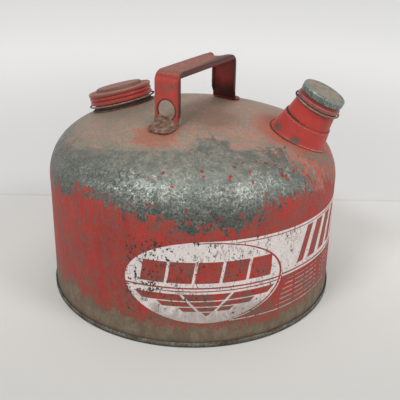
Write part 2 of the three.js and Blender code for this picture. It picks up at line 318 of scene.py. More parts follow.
def handle_path():
    """Stations (s, z, normal s, normal z, flange depth, half width) from the near foot to the far one."""
    side = []
    for i in range(14):
        d = FOOT_L * i / 13 * (1 - FOOT_BEND_R / FOOT_L)
        s = HALF_L + FOOT_L - d
        slope = foot_z(s + 0.5, 0) - foot_z(s - 0.5, 0)
        length = hypot(1, slope)
        side.append((s, foot_z(s, 0), -slope / length, 1 / length, 0.4, foot_half_width(d)))
    base = foot_z(HALF_L + FOOT_BEND_R, 0)
    for i in range(1, 7):
        a = radians(80) * i / 6
        s = HALF_L + FOOT_BEND_R * (1 - sin(a))
        z = base + FOOT_BEND_R * (1 - cos(a))
        side.append((s, z, sin(a), cos(a), 0.4, HALF_W))
    low, high = base + FOOT_BEND_R + 0.4, HANDLE_TOP - BEND_R
    for i in range(17):
        z = low + (high - low) * i / 16
        depth = 0.4 + (LEG_FLANGE - 0.4) * ease(z - low, 0, 9)
        side.append((HALF_L, z, 1, 0, depth, HALF_W))
    for i in range(1, 19):
        a = pi / 2 * i / 18
        side.append((HALF_L - BEND_R + BEND_R * cos(a), high + BEND_R * sin(a),
                     cos(a), sin(a), bend_flange(a), HALF_W))
    near = [(-s, z, -ns, nz, d, w) for s, z, ns, nz, d, w in side]
    middle = []
    for i in range(1, 32):
        s = (BEND_R - HALF_L) + 2 * (HALF_L - BEND_R) * i / 32
        middle.append((s, HANDLE_TOP, 0, 1, GRIP_FLANGE, HALF_W))
    # the two feet stand on different heights of the dome, so each side is built from its own
    drop = foot_z(-HALF_L - FOOT_BEND_R, 0) - base
    near = [(s, z + drop * (1 - ease(z, base + 4, high)), ns, nz, d, w)
            for s, z, ns, nz, d, w in near]
    return near + middle + list(reversed(side))


def foot_half_width(d):
    """Half width of a foot at a distance d from its rounded tip."""
    lack = max(0.0, FOOT_CORNER_R - d)
    return HALF_W - FOOT_CORNER_R + sqrt(FOOT_CORNER_R**2 - lack**2)


def bend_flange(a):
    """Depth of the side flange round a bend: its edge runs straight to a tight inner corner."""
    depth = 0.0
    for cosine, flange in ((cos(a), LEG_FLANGE), (sin(a), GRIP_FLANGE)):
        if cosine > 0.1:
            depth = max(depth, BEND_R - (BEND_R - flange) / cosine)
    return depth


def strap_section(depth, half_width):
    """Points (b, inset) across the strap: flange, rounded edge, web, rounded edge, flange."""
    r = min(1.6, depth)
    points = []
    for i in range(3):
        points.append((half_width, depth - (depth - r) * i / 3))
    for i in range(6):
        a = pi / 2 * i / 5
        points.append((half_width - r + r * cos(a), r - r * sin(a)))
    edges = len(points)
    for i in range(1, 20):
        points.append(((half_width - r) * (1 - i / 10), 0))
    mirrored = [(-b, inset) for b, inset in reversed(points[:edges])]
    return points + mirrored


def buckle(s, b, z):
    """Depth of the kink where the far bend has folded in, as thin channel does."""
    across = 1 - ease(b, KINK_AT, HALF_W + 0.6) if b > KINK_AT else ease(b, -9, KINK_AT)
    along = ease(s, HALF_L - 24, HALF_L - 7)
    return KINK_DEPTH * across * along * ease(z, HANDLE_TOP - 15, HANDLE_TOP - 3)


def handle_point(station, b, inset):
    s, z, ns, nz, _, _ = station
    ps, pz = s - ns * inset, z - nz * inset
    on_foot = 1 - ease(pz, foot_z(s, 0), foot_z(s, 0) + 6)
    pz += on_foot * (foot_z(s, b) - foot_z(s, 0))
    kink = buckle(s, b, z)
    dent = 0.35 * (0.5 + 0.5 * wobble(s, b, z, 17, 2))
    dent *= ease(z, 190, 200) * ease(HALF_W - abs(b), 0, 4)
    ps, pz = ps - ns * (kink + dent), pz - nz * (kink + dent)
    x, y = handle_xy(ps, b)
    return Vector((x, y, pz))


def handle():
    stations = handle_path()
    grid = []
    for station in stations:
        section = strap_section(station[4], station[5])
        grid.append([handle_point(station, b, inset) for b, inset in section])
    outer = np.array([[tuple(p) for p in row] for row in grid])
    normal = np.cross(np.gradient(outer, axis=0), np.gradient(outer, axis=1))
    normal /= np.maximum(np.linalg.norm(normal, axis=2, keepdims=True), 1e-9)
    if normal[len(normal) // 2, len(normal[0]) // 2, 2] < 0:
        normal = -normal
    obj = slab("handle_bridge", outer, outer - normal * STRAP_T, 40)
    x, y = handle_xy(-HALF_L, 0)
    turn = Matrix.Rotation(radians(HANDLE_AZ), 4, "Z") @ Matrix.Rotation(pi / 2, 4, "Y")
    cut(obj, cylinder("hole", LEG_HOLE_R, -6, 6, Matrix.Translation((x, y, LEG_HOLE_Z)) @ turn, 64))
    return obj


def foot_bead(name, side):
    """Lumpy blanket of solder over a foot, thickest where it climbs the leg."""
    rows, cols = 44, 56
    top, under = [], []
    for i in range(rows + 1):
        out = 0.12 + (FOOT_L - 0.5) * (i / rows) ** 1.5
        width = foot_half_width(FOOT_L - out) - 0.25
        bend = FOOT_BEND_R - out
        rise = FOOT_BEND_R - sqrt(FOOT_BEND_R**2 - bend**2) if bend > 0 else 0.0
        fade = 1 - ease(out, FOOT_L - 3.0, FOOT_L + 0.3)
        top.append([])
        under.append([])
        for k in range(cols + 1):
            v = 2 * k / cols - 1
            b = width * v
            s = side * (HALF_L + out)
            x, y = handle_xy(s, b)
            lump = wobble(x, y, 9 * side, 4.2, 2) + 0.6 * wobble(x, y, 3 * side, 1.9, 5)
            climb = (3.2 - 0.17 * b * side + 1.5 * lump) * exp(-((out / 2.0) ** 1.3))
            thick = climb + 1.25 + 0.75 * lump
            low = foot_z(s, b) + rise + 0.05
            top[-1].append((x, y, low + max(0.12, thick * ((1 - abs(v) ** 7) * fade) ** 0.5)))
            under[-1].append((x, y, low))
    return slab(name, top, under, 60)


# ---------------------------------------------------------------- collars, caps and spout
def thread_shift(low, turns, radius_from):
    """Moves a thin wall outwards along a helix of the thread's pitch."""
    def shift(angle, r, h):
        if r < radius_from:
            return r, h
        bump = 0.0
        for k in range(int(turns) + 1):
            t = angle / (2 * pi) + k
            ends = ease(t, 0, 0.12) * (1 - ease(t, turns - 0.12, turns))
            d = (h - low - THREAD_PITCH * t) / 1.15
            bump = max(bump, ends * exp(-d * d))
        return r + THREAD_R * bump, h
    return shift


def worn_shift(depth, size, seed):
    """Small knocks in a pressed cap."""
    def shift(angle, r, h):
        x, y = r * cos(angle), r * sin(angle)
        move = depth * (0.5 + 0.5 * wobble(x, y, h, size, seed))
        flat = ease(r, 2, 8)
        return r - move * flat, h
    return shift


def closed_profile(points, radius, step):
    """A filleted closed profile: its last corner is rounded too."""
    start = tuple((points[0][k] + points[-1][k]) / 2 for k in (0, 1))
    return resample(fillet([start, *points, start], radius), step)[:-1]


def filler_neck():
    collar = FILLER_NECK_R + COLLAR_W
    profile = [
        (FILLER_BORE_R, -5), (FILLER_NECK_R, -5), (FILLER_NECK_R, -2.5), (collar, -2.5),
        (collar, 0.8), (collar - 0.4, 1.2), (FILLER_NECK_R, 1.2), (FILLER_NECK_R, 12.9),
        (FILLER_NECK_R - 0.3, 13.6), (FILLER_BORE_R + 0.3, 13.8), (FILLER_BORE_R, 13.4),
    ]
    thread = thread_shift(4.2, 1.2, FILLER_BORE_R - 0.1)

    def shift(angle, r, h):
        """The thread above, and below it the collar's foot trimmed to the dome."""
        if h > 1.3:
            return thread(angle, r, h)
        if r > FILLER_NECK_R + 0.1 and h < 0:
            return r, foot_height(FILLER, angle, lambda _: r, GAP)
        return r, h

    return revolve("filler_collar", closed_profile(profile, 0.3, 0.6), 192, FILLER, shift, closed=True)


def filler_cap():
    profile = [
        (0, 19.3), (22.6, 19.3), (23.4, 16.4), (29.6, 16.4), (30.2, 15.8), (30.2, 5.3),
        (32.1, 5.3), (32.4, 5.9), (32.2, 8.1), (31.5, 8.8), (31.5, 9.5), (32.1, 10.1),
        (32.1, 12.1), (31.5, 12.7), (31.5, 13.4), (32.2, 14), (32.5, 15.8), (32.1, 16.8),
        (31.3, 17.1), (24.2, 17.1), (23.3, 19.6), (22.6, 20), (0, 20),
    ]
    return revolve("filler_cap_body", resample(fillet(profile, 0.6), 1.5), 192, FILLER,
                   worn_shift(0.26, 9, 11))


def wire_ring(name, radius, height, place):
    def section(angle):
        return radius, height + 0.15 * sin(2 * angle + 1), WIRE_R, WIRE_R

    return tube(name, place, 128, 14, section)


def foot_height(place, angle, radius_at, lift):
    """Height in a collar's frame where radius_at(height) meets the dome raised by lift."""
    low, high = -16.0, 12.0
    for _ in range(40):
        mid = (low + high) / 2
        p = polar(place, angle, radius_at(mid), mid)
        if p.z > dome_z(p.x, p.y) + lift:
            high = mid
        else:
            low = mid
    return (low + high) / 2


def cone_radius(h):
    return CONE_TOP_R + (CONE_TOP_H - h) * CONE_FLARE


def spout_cone():
    """Lower half of the spout, its foot following the dome."""
    rows = 40
    lift, flare = GAP + 0.15, 0.9
    grid = []
    for a in circle(192):
        foot = foot_height(SPOUT, a, lambda h: cone_radius(h) + flare, lift)
        outer, inner = [], []
        for i in range(rows + 1):
            t = i / rows
            h = foot + (CONE_TOP_H - foot) * t**1.5
            r = cone_radius(h) + flare * exp(-(h - foot) / 1.3)
            sag = 0.5 + 0.5 * wobble(r * cos(a), r * sin(a), h, 12, 4)
            r -= 0.18 * sag * ease(t, 0.1, 0.4) * (1 - ease(t, 0.85, 1))
            outer.append(polar(SPOUT, a, r, h))
            inner.append(polar(SPOUT, a, r - SHEET, h + (0.25 if i == 0 else 0)))
        grid.append(outer + inner[::-1])
    return skin("spout_cone", grid)


def solder_ring(name, place, radius_at, lift, seed):
    """Uneven bead round a collar's foot."""
    def section(angle):
        size = 0.72 + 0.16 * wobble(40 * cos(angle), 40 * sin(angle), 0, 5, seed)
        foot = foot_height(place, angle, lambda h: radius_at(h) + GAP + size, lift)
        return radius_at(foot) + GAP + size, foot + size * 0.62, size * 1.05, size * 0.72

    return tube(name, place, 220, 12, section, 60)


def spout_throat():
    lap = CONE_TOP_H - 7
    lap_r = cone_radius(lap) - SHEET - GAP
    top_r = CONE_TOP_R - SHEET - GAP
    profile = [
        (lap_r - 1.1, lap), (lap_r, lap), (top_r, CONE_TOP_H), (top_r - 0.2, CONE_TOP_H + 1.2),
        (20.2, 31.2), (20.9, 31.6), (20.9, 32.1), (SPOUT_NECK_R, 32.4), (SPOUT_NECK_R, 43.6),
        (SPOUT_NECK_R - 0.3, 44.3), (SPOUT_BORE_R + 0.3, 44.5), (SPOUT_BORE_R, 44.1),
        (SPOUT_BORE_R, 32), (19, 30.4), (20.8, CONE_TOP_H + 1), (21, CONE_TOP_H),
    ]
    thread = thread_shift(34.6, 1.2, SPOUT_BORE_R - 0.1)

    def shift(angle, r, h):
        return thread(angle, r, h) if h > 32.6 else (r, h)

    return revolve("spout_upper", closed_profile(profile, 0.3, 0.7), 160, SPOUT, shift, closed=True)


def spout_cap():
    profile = [
        (0, 47.1), (18.9, 47.1), (19.5, 46.5), (19.5, 34.8), (21.1, 34.8), (21.4, 35.4),
        (21.2, 37.9), (20.6, 38.5), (20.2, 38.9), (20.2, 41.2), (20.9, 41.8), (21.1, 46.4),
        (20.6, 47.8), (19.6, 48.3), (18.2, 48.3), (17.6, 47.7), (0, 47.7),
    ]
    return revolve("spout_cap_body", resample(fillet(profile, 0.6), 1.2), 160, SPOUT,
                   worn_shift(0.2, 7, 5))


# ---------------------------------------------------------------- material helpers
def linear(red, green, blue):
    """An 8-bit display colour as the linear colour that Blender wants."""
    def one(v):
        v /= 255
        return v / 12.92 if v <= 0.04045 else ((v + 0.055) / 1.055) ** 2.4
    return (one(red), one(green), one(blue), 1.0)


class Value:
    """A socket of a shader graph that can be added, scaled and ramped as if it were a number or vector."""

    def __init__(self, graph, socket):
        self.graph, self.socket = graph, socket
        self.is_vector = socket.type in ("VECTOR", "RGBA")

    def combine(self, operation, *values):
        return (self.graph.vector if self.is_vector else self.graph.math)(operation, *values)

    def __add__(self, other):
        return self.combine("ADD", self, other)

    __radd__ = __add__

    def __sub__(self, other):
        return self.combine("SUBTRACT", self, other)

    def __rsub__(self, other):
        return self.combine("SUBTRACT", other, self)

    def __mul__(self, other):
        if self.is_vector and not isinstance(other, tuple):
            return self.graph.vector("SCALE", self, scale=other)
        return self.combine("MULTIPLY", self, other)

    __rmul__ = __mul__

    def __truediv__(self, number):
        return self * (1 / number)

    def __abs__(self):
        return self.graph.math("ABSOLUTE", self)

    def root(self):
        return self.graph.math("SQRT", self)

    def fold(self, length):
        """Runs back and forth between zero and length."""
        return self.graph.math("PINGPONG", self, length)

    def dot(self, vector):
        return self.graph.vector("DOT_PRODUCT", self, vector)

    def length(self):
        return self.graph.vector("LENGTH", self)

    def distance(self, point):
        return self.graph.vector("DISTANCE", self, point)

    def unit(self):
        return self.graph.vector("NORMALIZE", self)

    def parts(self):
        node = self.graph.node("SeparateXYZ", self)
        return [Value(self.graph, socket) for socket in node.outputs]

    def ramp(self, low, high, to_low=0.0, to_high=1.0):
        """Smooth step from to_low at low to to_high at high."""
        node = self.graph.node("MapRange", self, low, high, to_low, to_high)
        node.interpolation_type = "SMOOTHSTEP"
        return Value(self.graph, node.outputs["Result"])

    def fall(self, low, high):
        """Smooth step from one at low to zero at high."""
        return self.ramp(low, high, 1.0, 0.0)

    def band(self, low, high, soft):
        """One between low and high, fading over soft."""
        return self.ramp(low - soft, low) * self.fall(high, high + soft)

    def coats(self, *layers):
        """This colour under layers, each an amount and either a display colour's numbers or a value."""
        colour = self
        for amount, *over in layers:
            colour = self.graph.mix(amount, colour, over[0] if len(over) == 1 else linear(*over))
        return colour

    def tint(self, *layer):
        return self.coats(layer)


def spaced(where, size, stretch, offset):
    """Texture coordinates for features of a size. stretch is along Z, or along (X, Y, Z)."""
    along = stretch if isinstance(stretch, tuple) else (1, 1, stretch)
    return where * tuple(1 / (size * s) for s in along) + offset


class Graph:
    """A material whose finish is worked out from values."""

    def __init__(self, name):
        self.material = bpy.data.materials.new(name)
        self.material.use_nodes = True
        self.tree = self.material.node_tree
        self.tree.nodes.clear()
        self.shader = self.tree.nodes.new("ShaderNodeBsdfPrincipled")
        out = self.tree.nodes.new("ShaderNodeOutputMaterial")
        self.tree.links.new(self.shader.outputs["BSDF"], out.inputs["Surface"])
        self.mm = Value(self, self.node("TexCoord").outputs["Object"]) * 1000.0
        self.normal = Value(self, self.node("NewGeometry").outputs["Normal"])

    def node(self, kind, *values):
        node = self.tree.nodes.new("ShaderNode" + kind)
        for socket, value in zip(node.inputs, values):
            self.put(socket, value)
        return node

    def put(self, socket, value):
        if isinstance(value, Value):
            self.tree.links.new(value.socket, socket)
        else:
            socket.default_value = value

    def vector(self, operation, *values, scale=None):
        node = self.node("VectorMath", *values)
        node.operation = operation
        if scale is not None:
            self.put(node.inputs["Scale"], scale)
        number = operation in ("DOT_PRODUCT", "LENGTH", "DISTANCE")
        return Value(self, node.outputs["Value" if number else "Vector"])

    def math(self, operation, *values):
        node = self.node("Math", *values)
        node.operation = operation
        return Value(self, node.outputs[0])

    def most(self, first, *rest):
        for value in rest:
            first = self.math("MAXIMUM", first, value)
        return first

    def least(self, first, *rest):
        for value in rest:
            first = self.math("MINIMUM", first, value)
        return first

    def noise(self, size, detail=3.0, roughness=0.55, stretch=1, seed=0.0, at=None):
        """Noise with features about size millimetres across."""
        node = self.node("TexNoise", spaced(at or self.mm, size, stretch, (seed, 3.7 * seed, 1.3 * seed)))
        for name, value in (("Scale", 1.0), ("Detail", detail), ("Roughness", roughness)):
            node.inputs[name].default_value = value
        return Value(self, node.outputs["Fac"])

    def cells(self, size, stretch=1, seed=0.0):
        """A random colour for each crystal about size millimetres across."""
        node = self.node("TexVoronoi", spaced(self.mm, size, stretch, (seed, 1.9 * seed, 0.7 * seed)))
        node.inputs["Scale"].default_value = 1.0
        return Value(self, node.outputs["Color"])

    def mix(self, amount, a, b):
        node = self.tree.nodes.new("ShaderNodeMix")
        node.data_type = "RGBA"
        self.put(node.inputs["Factor"], amount)
        for socket, colour in zip([s for s in node.inputs if s.type == "RGBA"], (a, b)):
            self.put(socket, colour)
        return Value(self, [s for s in node.outputs if s.type == "RGBA"][0])

    def blend(self, amount, low, high):
        """Runs from one display colour to another."""
        return self.mix(amount, linear(*low), linear(*high))

    def bump(self, height, strength, distance_mm, normal=None):
        node = self.node("Bump")
        node.inputs["Strength"].default_value = strength
        node.inputs["Distance"].default_value = distance_mm * MM
        self.put(node.inputs["Height"], height)
        if normal is not None:
            self.put(node.inputs["Normal"], normal)
        return Value(self, node.outputs["Normal"])

    def finish(self, colour, roughness, metallic=0.0, normal=None, specular=0.5):
        named = {"Base Color": colour, "Roughness": roughness, "Metallic": metallic,
                 "Specular IOR Level": specular}
        if normal is not None:
            named["Normal"] = normal
        for name, value in named.items():
            self.put(self.shader.inputs[name], value)
        return self.material


# How far the zinc's crystals, and the finer chips among them, tilt the surface, and the mean of both.
CRYSTAL_TILT, CHIP_TILT, MEAN_TILT = 0.2, 0.26, 0.23


def zinc(g, light=(137, 141, 134), dark=(93, 99, 93)):
    """Spangled galvanising: its colour, its crystals' height, and a normal tilted crystal by crystal."""
    coarse = g.cells(2.9, (1.4, 1, 0.9), 2.0)
    fine = g.cells(1.15, 0.9, 5.0)
    mottle = g.noise(9, 5, 0.65)
    grey = coarse.parts()[0] * 0.3 + fine.parts()[1] * 0.36 + mottle * 0.6
    colour = g.blend(grey.ramp(0.25, 1.0), dark, light)
    scrape = 0.0
    for size, seed in ((6.5, 9), (3.2, 19)):
        curl = abs(g.noise(size, 2, 0.5, 1.5, seed) - 0.5)
        where = g.noise(11, 2, 0.5, seed=seed + 5).ramp(0.44, 0.56)
        scrape = g.most(scrape, curl.fall(0.01, 0.024) * where)
    colour = colour.tint(scrape * 0.55, 188, 194, 186)
    tilt = coarse * CRYSTAL_TILT + fine * CHIP_TILT - (MEAN_TILT,) * 3
    return colour, grey, (g.normal + tilt).unit()


def red_paint(g, seed, bright=(170, 54, 46), dull=(138, 50, 43)):
    """Sun-faded red enamel, streaked and slightly blotchy."""
    broad = g.noise(34, 4, 0.6, 1.6, seed)
    streak = g.noise(6, 5, 0.66, 2.6, seed + 3)
    tone = (broad * 0.6 + streak * 0.4).ramp(0.34, 0.68)
    return g.blend(tone, dull, bright)


def place_coordinates(g, place):
    """Height above a collar's base and distance from its axis, in millimetres."""
    axis = place.col[2].to_3d()
    offset = g.mm - tuple(place.translation)
    height = offset.dot(tuple(axis))
    return height, (offset - g.vector("SCALE", tuple(axis), scale=height)).length()


# ---------------------------------------------------------------- the tank's finish
PANEL_AT, PANEL_W, PANEL_H, PANEL_TURN = 65.0, 73.6, 40.5, 6.0
STRIPES = [(-17.2, -11.0, 59.0), (-23.0, -18.6, 47.0), (-28.2, -24.4, 34.0), (-32.8, -29.6, 19.0)]
NEAR_FOOT = handle_xy(-HALF_L - FOOT_L / 2, 0)
FAR_FOOT = handle_xy(HALF_L + FOOT_L / 2, 0)


def print_axes(g):
    """Distances from the tank's axis to the right of its printed side, and towards that side."""
    t = radians(VIEW_TURN)
    return g.mm.dot((cos(t), sin(t), 0)), g.mm.dot((sin(t), -cos(t), 0))


def tank_angles(g):
    """Angle round the tank from its printed side, in degrees, the arc from it, and the plan radius."""
    right, front = print_axes(g)
    turn = g.math("ARCTAN2", right, front)
    radius = (right * right + front * front).root()
    return turn * (180 / pi), turn * TANK_R, radius


def print_mask(g, arc, z):
    """White of the print: an oval holding plain blocks and stripes, and a barred band to its right."""
    centre = radians(PANEL_TURN) * TANK_R
    u = arc - centre
    v = z - PANEL_AT
    across, up = u / PANEL_W, v / PANEL_H
    q = (across * across + up * up).root()
    oval = q.fall(0.992, 1.0)
    ring = q.band(0.95, 0.972, 0.006) * (u + v * 0.5).ramp(0, 22)

    # inside the oval: plain slanted blocks, two rules, and tapering stripes parted by slanted gaps
    slant = u - v * 0.16 + 60.5
    gaps = slant.fold(12.1)
    blocks = v.band(0.2, 20.6, 0.4) * gaps.ramp(1.0, 1.6) * u.band(-59.0, 60.0, 0.6)
    low_rule = v.band(-8.4, -7.6, 0.3) * u.ramp(-60, -30)
    rules = g.most(v.band(-5.4, -4.2, 0.3), low_rule)
    stripes = 0.0
    for low, high, half in STRIPES:
        wide = (abs(u) - v * 1.1).fall(half + 17, half + 18.4)
        stripes = g.most(stripes, v.band(low, high, 0.4) * wide)
    parting = abs(abs(u) - v * 0.9 - 33.0)
    stripes = stripes * parting.ramp(1.0, 1.8)
    ink = g.most(blocks, rules, stripes, ring)
    inside = oval * (1 - ink)

    # the band beside it
    beyond = u.ramp(4, 6) * q.ramp(0.985, 0.995)
    end = (u - v * 0.35).fall(292, 293)
    field = v.band(-2.6, 40.2, 0.4) * beyond * end
    lean = u - v * 0.36
    slash = (lean - 84.0).fold(9.5)
    slashes = slash.ramp(3.0, 3.8) * v.band(1.5, 35.5, 0.4) * lean.ramp(90.5, 91.2)
    top_rule = v.band(37.4, 38.1, 0.25) * u.ramp(18, 30)
    field = field * (1 - slashes) * (1 - top_rule)
    under = v.band(-6.2, -4.6, 0.3) * beyond * end
    fine_on = v.band(-38, -11, 0.3) * (u - v * 0.5).band(86, 168, 1.5)
    line = (v + 39.0).fold(2.35).fall(0.42, 0.62)
    breaks = g.noise(1, 1, 0.5, (3.2, 3.2, 1), 9, g.mm * (1, 1, 0))
    fine = fine_on * line * breaks.ramp(0.44, 0.5) * 0.55
    last = v.band(-39.6, -38.8, 0.3) * u.band(20, 150, 1) * breaks.ramp(0.36, 0.4)
    wide_print = g.most(field, under, fine, last)
    return g.most(inside, wide_print), u, v


def plan_distance(g, x, y):
    """Distance in plan from the point (x, y), in millimetres."""
    return (g.mm * (1, 1, 0)).distance((x, y, 0))


def tank_noises(g):
    """The noises that the tank's layers share, and their ragged sum, which lies around zero."""
    broad = g.noise(42, 3, 0.5, 1.1, 1.0)
    blotch = g.noise(13, 5, 0.66, 1.5, 2.0)
    drip = g.noise(4.6, 5, 0.7, 1.5, 3.0)
    grit = g.noise(1.4, 3, 0.65, 1.3, 4.0)
    ragged = broad * 1.5 + blotch * 2.6 + drip * 1.9 + grit * 1.1 - 3.55
    return broad, blotch, drip, grit, ragged


def bare_zinc(g, turn, z, blotch):
    """The bare shoulder: painted shade where it turns down, stained to the left, dull above."""
    colour, grey, normal = zinc(g)
    # painted shade: the zinc is darkened by height where the shoulder turns down to the wall
    colour = colour * z.ramp(122, 144, 0.56, 1.0)
    dull = z.ramp(148, 166) * 0.7
    dusty = g.blend(blotch.ramp(0.38, 0.6), (134, 136, 125), (164, 157, 144))
    colour = g.mix(dull, colour, dusty)
    left = turn.fall(-84, -30) * turn.ramp(-120, -84) * 0.7
    return colour.tint(left * blotch.ramp(0.3, 0.6), 96, 90, 78), grey, normal


def rubbed_paint(g, turn, broad, blotch, drip, ragged, medium):
    """What is left of the paint on the crown: pinkish brown, orange round the feet, redder by the spout."""
    speckle = g.noise(3.6, 6, 0.78, seed=21)
    colour = g.blend(blotch.ramp(0.36, 0.64), (160, 138, 120), (190, 134, 118))
    patch = g.noise(7.5, 6, 0.75, (1.4, 1, 1), 71)
    drifts = g.noise(24, 4, 0.6, (1.3, 1, 1), 77).ramp(0.5, 0.6)
    curl = abs(g.noise(5, 3, 0.6, seed=78) - 0.5)
    greyer = turn.band(-125, -30, 20) * speckle.ramp(0.42, 0.6, 0.4, 0.95)
    rosy = turn.band(30, 120, 22) * (speckle + drip * 0.4).ramp(0.56, 0.74, 1.0, 0.35)
    pale = g.noise(1.7, 3, 0.7, seed=25).ramp(0.57, 0.64)
    near = plan_distance(g, NEAR_FOOT[0] + 1, NEAR_FOOT[1] - 3)
    far = plan_distance(g, *FAR_FOOT) + 8.0
    halo = g.least(near, far) / -8 + ragged * 1.7 + medium * 1.6 + 2.7
    halo = halo.ramp(-0.5, 0.6) * speckle.ramp(0.42, 0.6, 0.9, 0.5)
    spout = plan_distance(g, 105, -2) / -11 + ragged * 0.9 + 3.7
    colour = colour.coats(
        (speckle.ramp(0.46, 0.56) * 0.8, 134, 132, 116),
        (patch.ramp(0.51, 0.56) * 0.75, 128, 130, 116),
        (patch.fall(0.42, 0.47) * 0.65, 190, 116, 99),
        (drifts * 0.55, 134, 130, 112),
        (curl.fall(0.008, 0.02) * 0.45, 186, 164, 148),
        (greyer * 0.75, 136, 128, 112),
        (rosy * 0.3, 168, 98, 84),
        (pale * 0.55, 180, 150, 134),
        (halo, 170, 92, 70),
        (spout.ramp(-0.6, 0.7) * 0.85, 178, 90, 70))
    # a brown patch darkens the crown to the right of the handle
    stain = plan_distance(g, 26, -30) + broad * 26
    return colour.tint(stain.ramp(20, 48, 0.6, 0.0), 116, 88, 68)


def wall_paint(g, z, blotch, drip, grit):
    """Red enamel of the wall with grey-brown wear in drips and patches."""
    colour = red_paint(g, 8.0, (188, 56, 49), (158, 55, 48))
    smoke = drip * 0.3 + blotch * 0.4 + g.noise(8, 3, 0.55, 2, 61) * 0.3
    smoked = smoke.ramp(0.42, 0.6) * z.ramp(30, 110, 1.0, 0.75)
    colour = colour.tint(smoked * 0.9, 126, 84, 75)
    bare = drip * 0.5 + grit * 0.3 + blotch * 0.2 + z.ramp(60, 120) * 0.035
    bare = bare.ramp(0.6, 0.63)
    return colour.tint(bare * 0.85, 98, 100, 90), bare


def tank_finish():
    g = Graph("tank_paint")
    turn, arc, radius = tank_angles(g)
    z = g.mm.parts()[2]
    broad, blotch, drip, grit, ragged = tank_noises(g)
    turn = turn + ragged * 11
    medium = g.noise(6.5, 3, 0.6, 1.3, 52) - 0.5

    # solid paint reaches up the wall to a ragged edge under the shoulder
    steps = turn.band(-44, -27, 6) * 9 - turn.band(-2, 24, 8) * 5 + turn.band(36, 62, 8) * 8
    edge = steps + 124.0
    crumbs = (g.noise(2.6, 5, 0.75, seed=73) - 0.5) * 5.0
    ragged_edge = ragged * 1.8 + medium * 6.5 + crumbs * 0.4
    wall = ((edge - z) / 8 + ragged_edge).ramp(-0.2, 0.25)

    # thin, rubbed paint covers the crown and comes over the shoulder by the spout
    widen = g.least(turn * turn, 3600.0) * 0.008
    beside = turn.ramp(42, 56) * turn.fall(88, 155)
    reach = widen + 92.0 - turn.band(6, 17, 7) * 24.0 + beside * 60.0
    inside_reach = (reach - radius) / 9
    crown = (inside_reach + ragged * 1.4 + medium * 2.4 + crumbs).ramp(-0.6, 0.7)

    bare, grey, crystal = bare_zinc(g, turn, z, blotch)
    worn = rubbed_paint(g, turn, broad, blotch, drip, ragged, medium)
    red, scuffs = wall_paint(g, z, blotch, drip, grit)
    over = turn.ramp(36, 46) * turn.fall(104, 150) * radius.ramp(108, 130)
    patches = over * (blotch + medium).ramp(0.5, 0.55)
    worn = worn.coats(
        (over * drip.ramp(0.42, 0.54) * 0.85, 190, 74, 61),
        (patches * 0.9, 112, 118, 104))
    colour = g.mix(crown * 0.9, bare, worn)

    # paint flecks left on the bare shoulder
    fleck = g.cells(2.6, 1.1, 31).parts()
    low_flecks = fleck[0].ramp(0.968, 0.973) * turn.band(-14, 46, 8) * z.band(126, 160, 5)
    side_flecks = fleck[1].ramp(0.93, 0.94) * turn.band(38, 62, 8) * z.band(126, 156, 6)
    flecks = g.most(low_flecks, side_flecks)

    # print
    white, u, v = print_mask(g, arc, z)
    chip = g.noise(3.0, 4, 0.68, 1.3, 41)
    upper_left = (u - v).fall(-70, 20) * 0.06
    chips = (chip + upper_left + (broad - 0.5) * 0.2).ramp(0.63, 0.645)
    crack = abs(g.noise(10, 4, 0.62, 2.4, 47) - 0.5)
    cracked_here = g.noise(15, 2, 0.5, seed=48).ramp(0.5, 0.56)
    crack = crack.fall(0.005, 0.012) * cracked_here
    chips = g.most(chips, crack * 0.8)
    streak = g.noise(7, 3, 0.7, 5, 44).ramp(0.63, 0.66) * 0.55
    paper = g.blend(g.noise(11, 4, 0.6, seed=46), (212, 198, 196), (240, 233, 231))
    paper = paper.tint(streak, 172, 100, 92)
    faded = (drip * 0.5 + blotch * 0.5).ramp(0.62, 0.72, 1.0, 0.3)
    printed = g.most(white, v.band(-40, 40, 4) * u.band(-70, 70, 6))

    # grime rising from the foot
    rise = (21.0 - z) / 8 + ragged * 1.7 + turn.band(-110, -40, 35) * 0.9
    grime = rise.ramp(-0.25, 0.3)
    soot = g.blend(blotch.ramp(0.35, 0.65), (102, 98, 80), (146, 138, 118))
    soot = soot.coats(
        (drip.ramp(0.52, 0.6) * 0.6, 84, 94, 82),
        (z.ramp(2, 11, 0.6, 0.0), 58, 50, 41))
    haze = (46.0 - z) / 22 + ragged * 1.2
    colour = colour.coats(
        (wall, red),
        (flecks * 0.9, 158, 66, 56),
        (white * faded, paper),
        (chips * printed, 58, 58, 54),
        (grime * 0.93, soot),
        (haze.ramp(-0.2, 0.9) * 0.5, 114, 94, 78))
    colour = colour * grit.ramp(0.3, 0.7, 0.88, 1.1)

    painted = g.most(wall, crown * 0.75, grime)
    open_metal = 1 - painted
    rough = 0.36 + painted * 0.18 + grey * 0.12 + grime * 0.15
    relief = wall * 0.6 + white * 0.25 + grey * 0.4 + grit * 0.5 + blotch * 0.5
    relief = relief - scuffs * 0.4 - chips * printed * 0.5
    base = (crystal * open_metal + g.normal * painted).unit()
    return g.finish(colour, rough, open_metal * 0.7, g.bump(relief, 0.45, 0.35, base), 0.3)


def base_finish():
    g = Graph("tank_base")
    z = g.mm.parts()[2]
    bare, spangle, _ = zinc(g, (128, 126, 114), (84, 80, 70))
    rust = g.noise(12, 5, 0.65, seed=3)
    colour = bare.tint(rust.ramp(0.48, 0.7), 84, 60, 44)
    colour = colour.coats(
        (z.ramp(0.2, 3.5, 0.75, 0.1), 50, 42, 34),
        (g.noise(2.2, 3).ramp(0.5, 0.7) * 0.4, 118, 106, 88))
    return g.finish(colour, 0.5 + rust * 0.3, 0.35, g.bump(rust + spangle, 0.5, 0.3))


